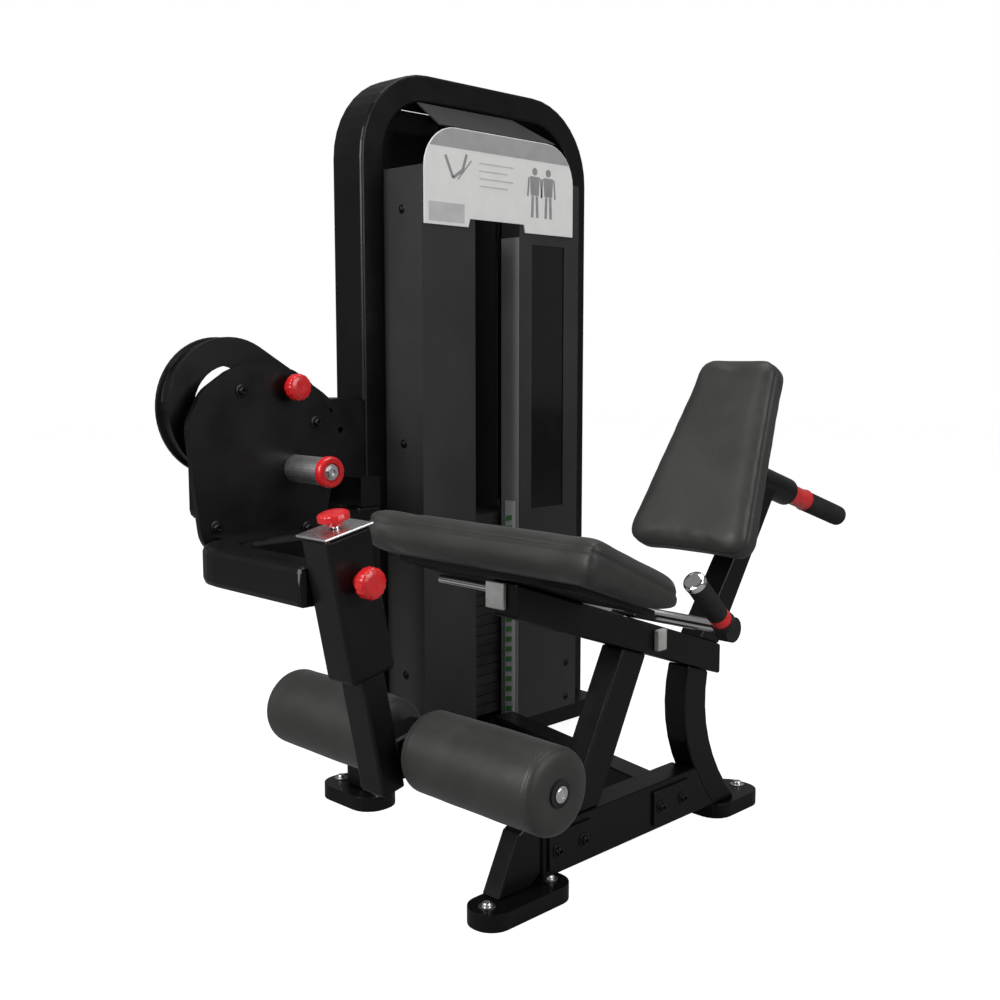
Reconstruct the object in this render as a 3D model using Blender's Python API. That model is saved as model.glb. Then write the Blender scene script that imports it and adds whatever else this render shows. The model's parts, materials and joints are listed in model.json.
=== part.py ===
"""Leg extension machine: a weight-stack tower, a cam and swinging lever with two leg rollers, and a seat frame.

Metres. +Z is up, the seated user faces -Y, and the tower stands on the user's right, towards -X.
"""

import math

import bmesh
import bpy
from mathutils import Matrix, Vector

GAP = 0.0003  # clearance between pieces that touch

# Tower: an inverted U of flat tube, with a folded sheet shroud inside it
TOWER_HEIGHT = 1.535
HOOP_X = (-0.513, -0.413)
HOOP_Y = (-0.116, 0.603)
HOOP_TUBE = 0.060
HOOP_RADIUS = 0.19
SHROUD_FRONT = -0.293
SHROUD_BACK = -0.425
SHROUD_Y = (-0.055, 0.44)
SHROUD_Z = (0.0703, 1.32)
SLOT_Y = (0.10, 0.24)
SHEET = 0.0025
WINDOW_Y = (0.28, 0.39)
WINDOW_Z = (0.57, 1.175)
BASE_Z = (0.03, 0.07)

# Weight stack
PLATE = 0.024
PLATE_COUNT = 20
LIFTED = 7  # the top plate and the six plates under it
STACK_X = (-0.465, -0.36)
STACK_Y = 0.195
STACK_WIDTH = 0.30
STACK_BOTTOM = 0.08
ROD_SPACING = 0.10
ROD_RADIUS = 0.0095
SELECTOR_RADIUS = 0.010
PULLEY_RADIUS = 0.045
PULLEY_HEIGHT = 1.40

# Pivot and lever
PIVOT_Y = -0.425
PIVOT_Z = 0.715
AXLE_RADIUS = 0.026
AXLE_END = -0.14
CAM_X = (-0.325, -0.278)
CAM_RING = (-0.537, 0.832)
CAM_RING_OUTER = 0.128
CAM_RING_INNER = 0.0765
CAM_SECTOR = 0.17
LEVER_PLATE_X = (-0.25, -0.238)
POST_CENTRE_X = 0.185
POST_WIDTH = 0.068
POST_DEPTH = 0.085
POST_TOP = (-0.70, 0.655)
POST_LENGTH = 0.235
POST_TILT = math.radians(11.7)
POST_WALL = 0.004
ARM_Z = 0.5755
ARM_TUBE = (0.070, 0.065)
CARRIAGE_WIDTH = 0.058
CARRIAGE_DEPTH = 0.045
CARRIAGE_SETBACK = 0.020
CARRIAGE_TRAVEL = 0.10
ROLLER_RADIUS = 0.068
ROLLER_LENGTH = 0.285
ROLLER_GAP = 0.080
SHAFT_RADIUS = 0.0125
ROLLER_AT = (0.3901, 0.1152)  # along and behind the post

# Seat frame, which lies in one upright plane
RAIL_X = (0.235, 0.295)
LEG_X = (0.240, 0.290)
RAIL_Z = (0.035, 0.125)
BEAM_Y = (-0.375, 0.205)
BEAM_SLOPE = -0.344
BEAM_POINT = (0.109, 0.363)
BEAM_HALF = 0.030
FOOT = 0.03
SEAT_X = (-0.035, 0.51)
SEAT_PROFILE = [(-0.447, 0.600), (-0.195, 0.508), (-0.215, 0.572), (-0.425, 0.667)]
BACK_FRONT = [(0.095, 0.562), (0.285, 0.931)]
BACK_WIDTHS = (0.30, 0.18)
BACK_THICKNESS = 0.065
BACK_CENTRE_X = 0.265
SLIDE_POINT = (0.40, 0.663)
SLEEVE_END = 0.078  # down the slide from its reference point
SLIDE_TILT = math.radians(18)
HANDLE_Y, HANDLE_Z = -0.062, 0.465
BACK_REACH = 0.7033

FINISHES = {
    # name: base colour, roughness, metallic
    "frame_paint": ((0.010, 0.010, 0.011), 0.35, 0.0),
    "shroud_paint": ((0.030, 0.031, 0.033), 0.45, 0.0),
    "upholstery": ((0.018, 0.018, 0.017), 0.55, 0.0),
    "red_plastic": ((0.70, 0.015, 0.02), 0.3, 0.0),
    "chrome": ((0.85, 0.85, 0.86), 0.08, 1.0),
    "bright_steel": ((0.75, 0.75, 0.76), 0.3, 1.0),
    "plate_paint": ((0.012, 0.012, 0.012), 0.5, 0.0),
    "tinted_window": ((0.008, 0.006, 0.006), 0.1, 0.0),
    "placard": ((0.85, 0.85, 0.83), 0.5, 0.0),
    "grey_plug": ((0.45, 0.46, 0.44), 0.5, 0.0),
    "black_rubber": ((0.012, 0.012, 0.012), 0.7, 0.0),
}


def clear_scene():
    for old in list(bpy.data.objects):
        bpy.data.objects.remove(old)


def finish_material(name):
    found = bpy.data.materials.get(name)
    if found:
        return found
    colour, roughness, metallic = FINISHES[name]
    made = bpy.data.materials.new(name)
    made.use_nodes = True
    shader = made.node_tree.nodes["Principled BSDF"]
    shader.inputs["Base Color"].default_value = (*colour, 1.0)
    shader.inputs["Roughness"].default_value = roughness
    shader.inputs["Metallic"].default_value = metallic
    return made


# ---- shapes


def add(name, mesh_data, finish, bevel=0.0):
    """Makes an object of a bmesh, with its faces pointing out."""
    bmesh.ops.recalc_face_normals(mesh_data, faces=mesh_data.faces)
    mesh = bpy.data.meshes.new(name)
    mesh_data.to_mesh(mesh)
    mesh_data.free()
    mesh.shade_smooth()
    mesh.set_sharp_from_angle(angle=math.radians(35))
    mesh.materials.append(finish_material(finish))
    made = bpy.data.objects.new(name, mesh)
    bpy.context.scene.collection.objects.link(made)
    if bevel:
        rounding = made.modifiers.new("rounding", "BEVEL")
        rounding.width = bevel
        rounding.segments = 2
        rounding.limit_method = "ANGLE"
        rounding.angle_limit = math.radians(50)
    return made


def loft(name, rings, finish, bevel=0.0, bored=False):
    """Joins rings of points, each to the next. The ends are capped, or joined to each other on a bored piece."""
    mesh_data = bmesh.new()
    loops = [[mesh_data.verts.new(point) for point in ring] for ring in rings]
    pairs = list(zip(loops, loops[1:]))
    if bored:
        pairs.append((loops[-1], loops[0]))
    else:
        mesh_data.faces.new(loops[0][::-1])
        mesh_data.faces.new(loops[-1])
    for lower, upper in pairs:
        for i in range(len(lower)):
            j = (i + 1) % len(lower)
            mesh_data.faces.new((lower[i], lower[j], upper[j], upper[i]))
    return add(name, mesh_data, finish, bevel)


def place(axis, point, height):
    """The 3-D point of a point of an outline that lies across the axis, at that height along it."""
    a, b = point
    return {"X": (height, a, b), "Y": (a, height, b), "Z": (a, b, height)}[axis]


def prism(name, outline, axis, span, finish, bevel=0.0):
    rings = [[place(axis, point, height) for point in outline] for height in span]
    return loft(name, rings, finish, bevel)


def box(name, xs, ys, zs, finish, bevel=0.0):
    corners = [(xs[0], ys[0]), (xs[1], ys[0]), (xs[1], ys[1]), (xs[0], ys[1])]
    return prism(name, corners, "Z", zs, finish, bevel)


def turned(name, profile, start, direction, finish, sides=24, bored=False):
    """Turns a profile of (distance along, radius) about the line from start."""
    along = Vector(direction).normalized()
    side = along.orthogonal().normalized()
    other = along.cross(side)
    rings = []
    for distance, radius in profile:
        centre = Vector(start) + along * distance
        angles = [2 * math.pi * i / sides for i in range(sides)]
        ring = [centre + side * radius * math.cos(a) + other * radius * math.sin(a) for a in angles]
        rings.append(ring)
    return loft(name, rings, finish, bored=bored)


def rod(name, start, end, radius, finish, sides=24):
    length = (Vector(end) - Vector(start)).length
    direction = Vector(end) - Vector(start)
    return turned(name, [(0, radius), (length, radius)], start, direction, finish, sides)


def arc(centre, radius, start, end, steps):
    """Points on an arc from one angle to another, in degrees."""
    angles = [math.radians(start + (end - start) * i / steps) for i in range(steps + 1)]
    return [(centre[0] + radius * math.cos(a), centre[1] + radius * math.sin(a)) for a in angles]


def rounded(corners, radius, steps=5):
    """The outline with each corner replaced by an arc of that radius."""
    outline = []
    for i, corner in enumerate(corners):
        here = Vector(corner)
        before = Vector(corners[i - 1]) - here
        after = Vector(corners[(i + 1) % len(corners)]) - here
        half = before.angle(after) / 2
        reach = min(radius / math.tan(half), 0.48 * before.length, 0.48 * after.length)
        bend = reach * math.tan(half)
        middle = (before.normalized() + after.normalized()).normalized()
        centre = here + middle * (bend / math.sin(half))
        first = here + before.normalized() * reach - centre
        last = here + after.normalized() * reach - centre
        sweep = first.angle_signed(last)
        for step in range(steps + 1):
            turn = Matrix.Rotation(-sweep * step / steps, 2)
            outline.append(tuple(centre + turn @ first))
    return outline


def rectangle(a, b, radius=0.0, steps=5):
    corners = [(a[0], b[0]), (a[1], b[0]), (a[1], b[1]), (a[0], b[1])]
    return rounded(corners, radius, steps) if radius else corners


def hull(points):
    """The convex outline round the points, anticlockwise."""
    ordered = sorted(set(points))
    chains = []
    for run in (ordered, ordered[::-1]):
        chain = []
        for point in run:
            while len(chain) > 1:
                first = Vector(chain[-1]) - Vector(chain[-2])
                second = Vector(point) - Vector(chain[-1])
                if first.x * second.y - first.y * second.x > 1e-9:
                    break
                chain.pop()
            chain.append(point)
        chains.append(chain[:-1])
    return chains[0] + chains[1]


def combine(target, tool, operation):
    """Cuts the tool from the target, or joins it to it. The tool itself isn't shown."""
    step = target.modifiers.new(tool.name, "BOOLEAN")
    step.operation = operation
    step.object = tool
    tool.hide_render = True
    tool.display_type = "WIRE"
    return target


def cut(target, *tools):
    for tool in tools:
        combine(target, tool, "DIFFERENCE")
    return target


def join(target, *tools):
    for tool in tools:
        combine(target, tool, "UNION")
    return target


def joint_axis(name, point):
    """An empty on a joint's axis, which the pieces that move with the joint hang from."""
    made = bpy.data.objects.new(name, None)
    made.location = point
    bpy.context.scene.collection.objects.link(made)
    return made


def hang(empty, *pieces):
    for piece in pieces:
        piece.parent = empty
        piece.matrix_parent_inverse = Matrix.Translation(-empty.location)


# ---- tower


def hoop_outline(inset, foot):
    """The inverted U's outline at that distance inside its outer face, from foot to foot."""
    left, right = HOOP_Y[0] + inset, HOOP_Y[1] - inset
    radius = HOOP_RADIUS - inset
    top = TOWER_HEIGHT - inset
    right_bend = arc((right - radius, top - radius), radius, 0, 90, 10)
    left_bend = arc((left + radius, top - radius), radius, 90, 180, 10)
    return [(right, foot)] + right_bend + left_bend + [(left, foot)]


def build_tower_frame():
    hoop = hoop_outline(0.0, 0.0) + hoop_outline(HOOP_TUBE, 0.0)[::-1]
    prism("tower_hoop", hoop, "X", HOOP_X, "frame_paint", bevel=0.006)
    inner = (HOOP_Y[0] + HOOP_TUBE + GAP, HOOP_Y[1] - HOOP_TUBE - GAP)
    box("tower_base", (-0.508, -0.30), inner, BASE_Z, "frame_paint")
    rear = hoop_outline(HOOP_TUBE + GAP, BASE_Z[1] + GAP)
    prism("shroud_rear", rear, "X", (HOOP_X[0] + 0.001, HOOP_X[0] + 0.0035), "shroud_paint")
    # A hanger under the hoop carries the top pulley.
    ceiling = TOWER_HEIGHT - HOOP_TUBE - GAP
    centre_x = pulley_centre()[0]
    hanger = box("pulley_hanger", (centre_x - 0.02, centre_x + 0.02), (0.160, 0.230),
                 (ceiling - 0.006, ceiling), "frame_paint")
    for number, ys in enumerate(((0.160, 0.166), (0.224, 0.230))):
        cheek = box(f"hanger_cheek_{number}", (centre_x - 0.02, centre_x + 0.02), ys,
                    (PULLEY_HEIGHT - 0.02, ceiling - 0.003), "frame_paint")
        join(hanger, cheek)
    axle = rod("hanger_axle", (centre_x, 0.163, PULLEY_HEIGHT), (centre_x, 0.227, PULLEY_HEIGHT),
               0.008, "chrome", 16)
    join(hanger, axle)


def pulley_centre():
    stack_x = sum(STACK_X) / 2
    return (stack_x - PULLEY_RADIUS, STACK_Y, PULLEY_HEIGHT)


def build_shrouds():
    front, back = SHROUD_FRONT, SHROUD_BACK
    left, right = SHROUD_Y
    left_fold = [
        (back, left), (front, left), (front, SLOT_Y[0]), (front - SHEET, SLOT_Y[0]),
        (front - SHEET, left + SHEET), (back, left + SHEET),
    ]
    prism("shroud_left", left_fold, "Z", SHROUD_Z, "shroud_paint")
    flange = front - 0.058
    right_fold = [
        (back, right), (back, right - SHEET), (front - SHEET, right - SHEET),
        (front - SHEET, SLOT_Y[1] + SHEET), (flange, SLOT_Y[1] + SHEET), (flange, SLOT_Y[1]),
        (front, SLOT_Y[1]), (front, right),
    ]
    cover = prism("shroud_right", right_fold, "Z", SHROUD_Z, "shroud_paint")
    cut(cover, box("window_cutter", (front - 0.02, front + 0.02), WINDOW_Y, WINDOW_Z, "shroud_paint"))
    margin = 0.010
    pane_x = (front - SHEET - GAP - 0.003, front - SHEET - GAP)
    pane_y = (WINDOW_Y[0] - margin, WINDOW_Y[1] + margin)
    pane_z = (WINDOW_Z[0] - margin, WINDOW_Z[1] + margin)
    box("window_panel", pane_x, pane_y, pane_z, "tinted_window")


def build_placard_and_cap():
    low, high, notch = 1.20, 1.404, 1.218
    ys = (-0.05, 0.415)
    radius = 0.09
    outline = [(ys[0], low), (0.077, low), (0.082, notch), (0.250, notch), (0.255, low), (ys[1], low)]
    outline += arc((ys[1] - radius, high - radius), radius, 0, 90, 8)
    outline += arc((ys[0] + radius, high - radius), radius, 90, 180, 8)
    span = (SHROUD_FRONT + GAP, SHROUD_FRONT + GAP + 0.003)
    prism("instruction_placard", outline, "X", span, "placard")
    # The sloped cover leans back from the placard's top edge to the hoop.
    lower = [(-0.299, 0.005, 1.408), (-0.299, 0.365, 1.408), (-0.302, 0.365, 1.4055), (-0.302, 0.005, 1.4055)]
    upper = [(-0.405, 0.035, 1.4715), (-0.405, 0.330, 1.4715), (-0.408, 0.330, 1.469), (-0.408, 0.035, 1.469)]
    loft("top_cover", [lower, upper], "shroud_paint")


def build_stack():
    centre_x = sum(STACK_X) / 2
    side = STACK_WIDTH / 2
    outline = rectangle(STACK_X, (STACK_Y - side, STACK_Y + side), 0.006, 2)
    top = STACK_BOTTOM + PLATE * PLATE_COUNT
    split = top - PLATE * LIFTED
    rod_ys = (STACK_Y - ROD_SPACING, STACK_Y + ROD_SPACING)
    rod_x = centre_x
    bores = []
    for number, y in enumerate(rod_ys):
        name = ("guide_rod_left", "guide_rod_right")[number]
        rod(name, (rod_x, y, BASE_Z[1] + GAP), (rod_x, y, 1.30), ROD_RADIUS, "chrome", 12)
        bore = rod(f"rod_bore_{number}", (rod_x, y, 0.02), (rod_x, y, 0.9), ROD_RADIUS + 0.0012,
                   "plate_paint", 12)
        bores.append(bore)
    bores.append(rod("selector_bore", (centre_x, STACK_Y, 0.02), (centre_x, STACK_Y, 0.9),
                     SELECTOR_RADIUS + 0.0012, "plate_paint", 12))
    # The plates that stay down at this setting are one block, grooved where they meet.
    groove = 0.0015
    rings = []
    inner = rectangle((STACK_X[0] + groove, STACK_X[1] - groove),
                      (STACK_Y - side + groove, STACK_Y + side - groove), 0.006, 2)
    for number in range(PLATE_COUNT - LIFTED):
        base = STACK_BOTTOM + number * PLATE
        levels = [(outline, base + groove), (outline, base + PLATE - groove)]
        if number == 0:
            levels[0] = (outline, base)
        if number < PLATE_COUNT - LIFTED - 1:
            levels.append((inner, base + PLATE))
        else:
            levels[1] = (outline, base + PLATE - GAP)
        rings += [[place("Z", point, z) for point in ring] for ring, z in levels]
    cut(loft("resting_plates", rings, "plate_paint"), *bores)
    rest = rectangle((centre_x - 0.03, centre_x + 0.03), (STACK_Y - 0.06, STACK_Y + 0.06), 0.01, 2)
    cut(prism("stack_cushion", rest, "Z", (BASE_Z[1] + GAP, STACK_BOTTOM - GAP), "black_rubber"), bores[2])
    pin_z = split + PLATE / 2
    pin_bore = rod("pin_bore", (centre_x, STACK_Y, pin_z), (STACK_X[1] + 0.02, STACK_Y, pin_z), 0.0060,
                   "plate_paint", 12)
    lifted = []
    for number in range(LIFTED):
        high = top - number * PLATE
        name = "top_plate" if number == 0 else f"weight_plate_{number + 1:02d}"
        low = high - PLATE + (GAP if number < LIFTED - 1 else 0.0)
        plate = prism(name, outline, "Z", (low, high), "plate_paint")
        cut(plate, *bores)
        if number == LIFTED - 1:
            cut(plate, pin_bore)
        lifted.append(plate)
    selector = rod("selector_rod", (centre_x, STACK_Y, STACK_BOTTOM + 0.004), (centre_x, STACK_Y, top + 0.04),
                   SELECTOR_RADIUS, "bright_steel", 12)
    lifted.append(selector)
    knob_x = STACK_X[1] + 0.004
    profile = [(0, 0.005), (knob_x - centre_x - 0.012, 0.005), (knob_x - centre_x - 0.012, 0.009),
               (knob_x - centre_x, 0.011), (knob_x - centre_x + 0.022, 0.011), (knob_x - centre_x + 0.026, 0.008)]
    pin = turned("selector_pin", profile, (centre_x + 0.012, STACK_Y, pin_z), (1, 0, 0), "red_plastic", 16)
    hang(joint_axis("selector_pin_axis", (centre_x, STACK_Y, pin_z)), pin)
    centre = pulley_centre()
    groove_radius = PULLEY_RADIUS - 0.0028
    rim = PULLEY_RADIUS + 0.005
    wheel = [(-0.010, 0.0085), (-0.010, rim), (-0.0045, rim), (-0.0030, groove_radius),
             (0.0030, groove_radius), (0.0045, rim), (0.010, rim), (0.010, 0.0085)]
    pulley = turned("top_pulley", wheel, centre, (0, 1, 0), "black_rubber", 32, bored=True)
    hang(joint_axis("top_pulley_axis", centre), pulley)
    cable = rod("cable_stack_run", (centre_x, STACK_Y, top + 0.04 + GAP), (centre_x, STACK_Y, PULLEY_HEIGHT),
                0.0024, "black_rubber", 8)
    hang(joint_axis("stack_axis", (centre_x, STACK_Y, top)), cable, *lifted)
    build_cable_back_run(centre)


def build_cable_back_run(centre):
    """The cable goes over the pulley and down the tower's back to the base."""
    over = arc((centre[0], centre[2]), PULLEY_RADIUS, 0, 180, 16)
    path = [(x, centre[1], z) for x, z in over[1:]]
    path.append((centre[0] - PULLEY_RADIUS, centre[1], BASE_Z[1] + 0.002))
    line = bpy.data.curves.new("cable_back_run", "CURVE")
    line.dimensions = "3D"
    line.bevel_depth = 0.0024
    line.bevel_resolution = 2
    line.use_fill_caps = True
    spline = line.splines.new("POLY")
    spline.points.add(len(path) - 1)
    for point, position in zip(spline.points, path):
        point.co = (*position, 1.0)
    line.materials.append(finish_material("black_rubber"))
    made = bpy.data.objects.new("cable_back_run", line)
    bpy.context.scene.collection.objects.link(made)


# ---- pivot, cam and lever


def build_pivot():
    foot = rounded([(-0.39, -0.28), (-0.22, -0.28), (-0.22, -0.18), (-0.39, -0.18)], 0.045, 6)
    prism("tower_foot", foot, "Z", (0.0, FOOT), "frame_paint")
    box("pivot_column", (-0.33, -0.28), (-0.245, -0.185), (FOOT + GAP, 0.62), "frame_paint", 0.005)
    # The bracket stands out from the hoop's side, and a spur of it rests on the column.
    side = HOOP_Y[0] - GAP
    outline = rounded([(-0.50, 0.60), (side, 0.60), (side, 0.835), (-0.46, 0.835), (-0.50, 0.79)], 0.02, 3)
    bracket = prism("pivot_bracket", outline, "X", (-0.495, HOOP_X[1]), "frame_paint")
    join(bracket, box("bracket_spur", (HOOP_X[1] - 0.0005, -0.28), (-0.235, -0.185), (0.6203, 0.68), "frame_paint"))
    start = (HOOP_X[1] + GAP, PIVOT_Y, PIVOT_Z)
    rod("pivot_axle", start, (AXLE_END, PIVOT_Y, PIVOT_Z), AXLE_RADIUS, "chrome", 32)
    cap = [(GAP, 0.029), (0.011, 0.029), (0.015, 0.026), (0.015, 0.012), (0.019, 0.011)]
    turned("axle_cap", cap, (AXLE_END, PIVOT_Y, PIVOT_Z), (1, 0, 0), "red_plastic", 32)


def axle_bore(name):
    return rod(name, (-0.34, PIVOT_Y, PIVOT_Z), (-0.10, PIVOT_Y, PIVOT_Z), AXLE_RADIUS + 0.0005, "chrome", 32)


def build_cam():
    pivot = (PIVOT_Y, PIVOT_Z)
    shape = arc(CAM_RING, CAM_RING_OUTER, 0, 354, 59)
    shape += arc(pivot, 0.065, 180, 330, 12) + arc(pivot, CAM_SECTOR, 20, 100, 16)
    outline = hull(shape)
    middle = Vector((sum(p[0] for p in outline), sum(p[1] for p in outline))) / len(outline)
    low, high = CAM_X
    levels = [(low, 1.0), (low + 0.007, 1.0), (low + 0.010, 0.955), (high - 0.010, 0.955),
              (high - 0.007, 1.0), (high, 1.0)]
    rings = []
    for x, size in levels:
        ring = [middle + (Vector(point) - middle) * size for point in outline]
        rings.append([(x, point.x, point.y) for point in ring])
    cam = loft("cam_wheel", rings, "frame_paint")
    wide = (CAM_X[0] - 0.01, CAM_X[1] + 0.01)
    cut(cam, axle_bore("cam_bore"))
    cut(cam, prism("cam_opening", arc(CAM_RING, CAM_RING_INNER, 0, 350, 35), "X", wide, "frame_paint"))
    for number, angle in enumerate((25, 42, 59)):
        turn = math.radians(angle)
        centre = (PIVOT_Y + 0.153 * math.cos(turn), PIVOT_Z + 0.153 * math.sin(turn))
        cut(cam, prism(f"start_hole_{number}", arc(centre, 0.006, 0, 330, 11), "X", wide, "frame_paint"))
    hang(joint_axis("cam_axis", (CAM_X[0], PIVOT_Y, PIVOT_Z)), cam)


def post_point(along, behind, x=POST_CENTRE_X):
    """A point in the post's own directions: down along it from its top front edge, and behind its front face."""
    sine, cosine = math.sin(POST_TILT), math.cos(POST_TILT)
    y = POST_TOP[0] + sine * along + cosine * behind
    z = POST_TOP[1] - cosine * along + sine * behind
    return Vector((x, y, z))


def post_box(name, alongs, behinds, width, finish, bevel=0.0, centre=POST_CENTRE_X):
    rings = []
    for along in alongs:
        ring = [post_point(along, behinds[k], centre + width / 2 * s) for s, k in
                ((-1, 0), (1, 0), (1, 1), (-1, 1))]
        rings.append(ring)
    return loft(name, rings, finish, bevel)


def post_down():
    return Vector((0.0, math.sin(POST_TILT), -math.cos(POST_TILT)))


def build_lever():
    outline = [(-.654, .806), (-.621, .865), (-.569, .898), (-.537, .910), (-.487, .912), (-.426, .90),
               (-.389, .878), (-.354, .843), (-.33, .80), (-.33, .72), (-.36, .60), (-.40, .56),
               (-.60, .56), (-.63, .60), (-.645, .72)]
    plate = prism("lever_plate", rounded(outline, 0.05, 3), "X", LEVER_PLATE_X, "frame_paint")
    cut(plate, axle_bore("lever_bore"))
    knob_at = (-.435, .868)
    cut(plate, rod("start_pin_bore", (-0.27, *knob_at), (-0.21, *knob_at), 0.0065, "frame_paint", 16))
    # The arm: one bent tube from the post across and back to the plate, with the hollow post welded on.
    near_y = -0.665
    leg_x = -0.163
    bend = 0.07
    corner = arc((leg_x + bend, near_y + bend), bend, 270, 180, 8)
    path = [(POST_CENTRE_X - POST_WIDTH / 2 + 0.002, near_y)] + corner + [(leg_x, -0.45)]
    arm = sweep("lever_arm", [(x, y, ARM_Z) for x, y in path], ARM_TUBE, "frame_paint", 0.010)
    post = post_box("arm_post", (0.0, POST_LENGTH), (0.0, POST_DEPTH), POST_WIDTH, "frame_paint", 0.006)
    block = box("arm_block", (LEVER_PLATE_X[1] + GAP, leg_x), (-0.60, -0.46), (0.548, 0.603), "frame_paint")
    join(arm, post, block)
    inside = (POST_WALL, POST_DEPTH - POST_WALL)
    hollow = post_box("post_hollow", (-0.02, POST_LENGTH + 0.02), inside, POST_WIDTH - 2 * POST_WALL, "frame_paint")
    lock = post_point(0.077, 0.045)
    lock_bore = rod("lock_bore", lock, lock + Vector((0.06, 0, 0)), 0.0065, "frame_paint", 16)
    cut(arm, hollow, lock_bore)
    cap = post_box("post_cap", (-GAP - 0.004, -GAP), (-0.004, POST_DEPTH + 0.004), POST_WIDTH + 0.008,
                   "bright_steel", 0.0015)
    rod_behind = CARRIAGE_SETBACK + CARRIAGE_DEPTH / 2
    rod_bore = rod("cap_bore", post_point(-0.02, rod_behind), post_point(0.02, rod_behind), 0.0075, "chrome", 16)
    cut(cap, rod_bore)
    hang(joint_axis("lever_axis", (LEVER_PLATE_X[0], PIVOT_Y, PIVOT_Z)), plate, arm, cap)
    build_carriage(rod_behind)
    build_lever_pins(knob_at, lock)


def sweep(name, path, section, finish, bevel):
    """Sweeps a rectangle, wide across the path and tall along Z, along a level path."""
    points = [Vector(point) for point in path]
    rings = []
    for i, point in enumerate(points):
        before = (point - points[i - 1]).normalized() if i else None
        after = (points[i + 1] - point).normalized() if i + 1 < len(points) else None
        along = ((before or after) + (after or before)).normalized()
        stretch = 1 / along.dot(after or before)
        side = along.cross(Vector((0, 0, 1))) * section[0] / 2 * stretch
        up = Vector((0, 0, section[1] / 2))
        rings.append([point - side - up, point + side - up, point + side + up, point - side + up])
    return loft(name, rings, finish, bevel)


def build_carriage(rod_behind):
    top, bottom = 0.130, 0.435
    behinds = (CARRIAGE_SETBACK, CARRIAGE_SETBACK + CARRIAGE_DEPTH)
    tube = post_box("inner_tube", (top, bottom), behinds, CARRIAGE_WIDTH, "frame_paint", 0.004)
    along, behind = ROLLER_AT
    lug = post_box("shaft_lug", (along - 0.035, along + 0.035), (behinds[1] - 0.005, behind + 0.030),
                   CARRIAGE_WIDTH, "frame_paint", 0.008)
    join(tube, lug)
    centre = post_point(along, behind)
    half = ROLLER_LENGTH + ROLLER_GAP / 2
    ends = (POST_CENTRE_X - half - 0.003, POST_CENTRE_X + half + 0.003)
    cut(tube, rod("shaft_bore", (0.14, centre.y, centre.z), (0.23, centre.y, centre.z), SHAFT_RADIUS + GAP,
                  "frame_paint", 24))
    shaft = rod("roller_shaft", (ends[0], centre.y, centre.z), (ends[1], centre.y, centre.z), SHAFT_RADIUS,
                "chrome", 24)
    # The top knob stands on a rod that comes up through the post's cap.
    reach = top - GAP + 0.0175
    profile = [(0, 0.006), (reach - 0.012, 0.006), (reach - 0.012, 0.0125), (reach - 0.007, 0.0125),
               (reach - 0.004, 0.022), (reach + 0.004, 0.025), (reach + 0.009, 0.022)]
    knob = turned("top_knob", profile, post_point(top - GAP, rod_behind), -post_down(), "red_plastic", 24)
    hang(joint_axis("carriage_axis", centre), tube, shaft, knob)
    for name, side in (("roller_far", -1), ("roller_near", 1)):
        start = (POST_CENTRE_X + side * ROLLER_GAP / 2, centre.y, centre.z)
        edge = [(ROLLER_LENGTH - r, s) for r, s in reversed(end_rounding())]
        shape = [(0, SHAFT_RADIUS + GAP)] + end_rounding() + edge + [(ROLLER_LENGTH, SHAFT_RADIUS + GAP)]
        roller = turned(name, shape, start, (side, 0, 0), "upholstery", 32, bored=True)
        hang(joint_axis(f"{name}_axis", start), roller)


def end_rounding(radius=0.014, steps=4):
    """The roller's rounded edge, as (distance from its end, radius)."""
    turns = [math.radians(90 * i / steps) for i in range(steps + 1)]
    return [(radius * (1 - math.sin(t)), ROLLER_RADIUS - radius * (1 - math.cos(t))) for t in reversed(turns)]


def pull_pin(name, tip, direction, stem, finish="red_plastic"):
    """A pull pin: a thin stem through its bore, then a waisted round knob."""
    profile = [(0, 0.0055), (stem, 0.0055), (stem, 0.013), (stem + 0.012, 0.013), (stem + 0.018, 0.023),
               (stem + 0.032, 0.025), (stem + 0.038, 0.021)]
    return turned(name, profile, tip, direction, finish, 24)


def build_lever_pins(knob_at, lock):
    tip = (CAM_X[1] + 0.001, *knob_at)
    start_pin = pull_pin("start_pin", tip, (1, 0, 0), LEVER_PLATE_X[1] + GAP - tip[0])
    hang(joint_axis("start_pin_axis", tip), start_pin)
    inner_face = POST_CENTRE_X + CARRIAGE_WIDTH / 2 + GAP
    outer_face = POST_CENTRE_X + POST_WIDTH / 2 + GAP
    lock_tip = (inner_face, lock.y, lock.z)
    height_pin = pull_pin("height_pin", lock_tip, (1, 0, 0), outer_face - inner_face)
    hang(joint_axis("height_pin_axis", lock_tip), height_pin)


# ---- seat frame


def beam_height(y, side=0):
    """The beam's centre line at y, or its top (side 1) or underside (side -1)."""
    return BEAM_POINT[1] + BEAM_SLOPE * (y - BEAM_POINT[0]) + side * BEAM_HALF


def along_beam(ys, side, offset):
    return [(y, beam_height(y, side) + offset) for y in ys]


def straight_leg(name, foot, lean, width, top_gap):
    """A leg from the rail or a foot up to the beam's underside. Its foot is at (y, z), and it leans by dy/dz."""
    half = width / 2 * math.sqrt(1 + lean * lean)
    outline = []
    for shift in (-half, half):
        y, z = foot[0] + shift, foot[1]
        rise = (beam_height(y, -1) - top_gap - z) / (1 - BEAM_SLOPE * lean)
        outline.append(((y, z), (y + lean * rise, z + rise)))
    corners = [outline[0][0], outline[1][0], outline[1][1], outline[0][1]]
    return prism(name, corners, "X", LEG_X, "frame_paint", 0.004)


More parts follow.
